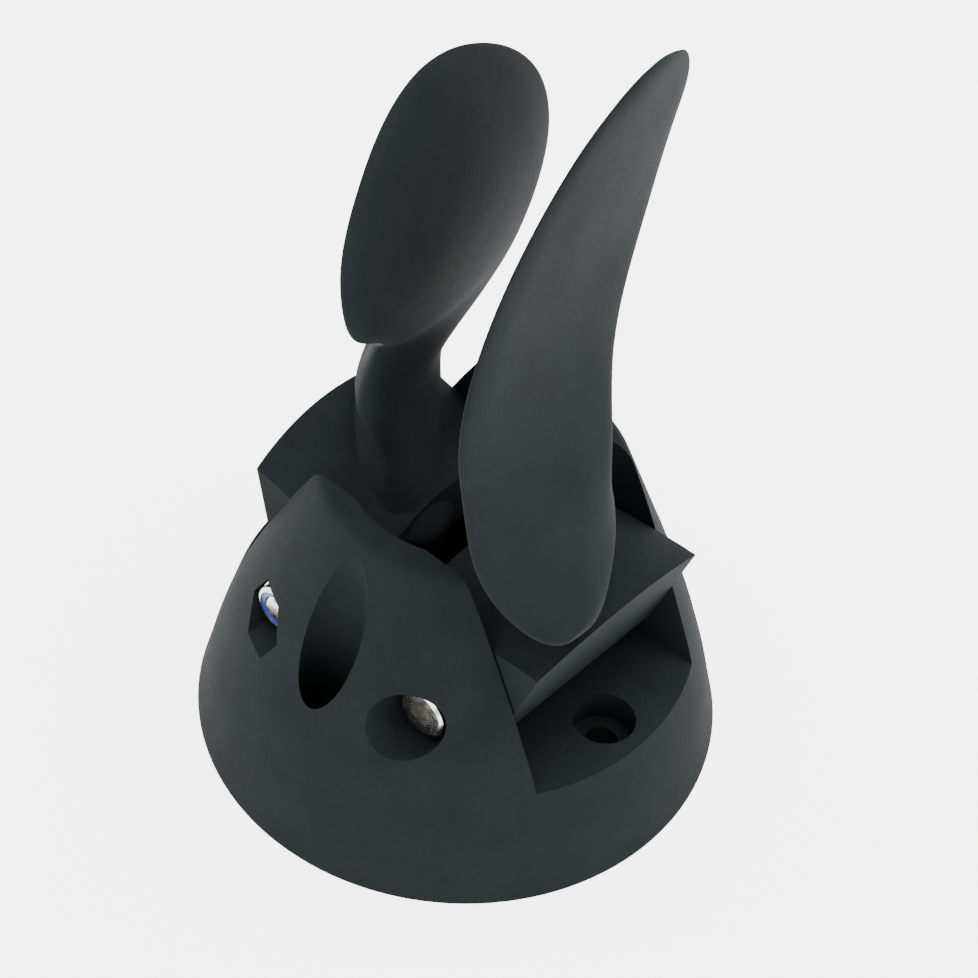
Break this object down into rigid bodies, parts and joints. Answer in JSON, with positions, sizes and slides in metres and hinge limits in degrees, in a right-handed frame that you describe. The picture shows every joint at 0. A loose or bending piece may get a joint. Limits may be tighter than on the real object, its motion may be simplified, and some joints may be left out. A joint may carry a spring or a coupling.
{
  "type": "folding propeller",
  "caption": "Folding propeller for a small hydro or marine rotor: slotted nose-cone hub whose leaf blades hinge on cross screws between straight out and folded up.",
  "frame": {"origin": "centre of the hub's flat base", "axes": "+Z along the rotor axis, from the base towards the nose; the slot runs along X and the pivot screws along Y"},
  "size_m": [0.07, 0.07, 0.1066],
  "materials": {
    "printed_nylon": "fine matte grain",
    "stainless": "bright turned",
    "blue_nylon": "satin"
  },
  "bodies": {
    "hub": {"hub_body": "printed_nylon", "pivot_screw_a": "stainless", "pivot_screw_b": "stainless", "lock_nut_a": "stainless", "lock_nut_b": "stainless", "nut_insert_a": "blue_nylon", "nut_insert_b": "blue_nylon"},
    "folding_blade_a": {"blade_a": "printed_nylon"},
    "folding_blade_b": {"blade_b": "printed_nylon"}
  },
  "joints": [
    {"name": "blade_a_fold", "type": "hinge", "parent": "hub", "child": "folding_blade_a", "pos_m": [-0.0123, 0, 0.0243], "axis": [0, 1, 0], "range_deg": [-76.3, 2]},
    {"name": "blade_b_fold", "type": "hinge", "parent": "hub", "child": "folding_blade_b", "pos_m": [0.0123, 0, 0.0243], "axis": [0, -1, 0], "range_deg": [-71.2, 5]}
  ]
}
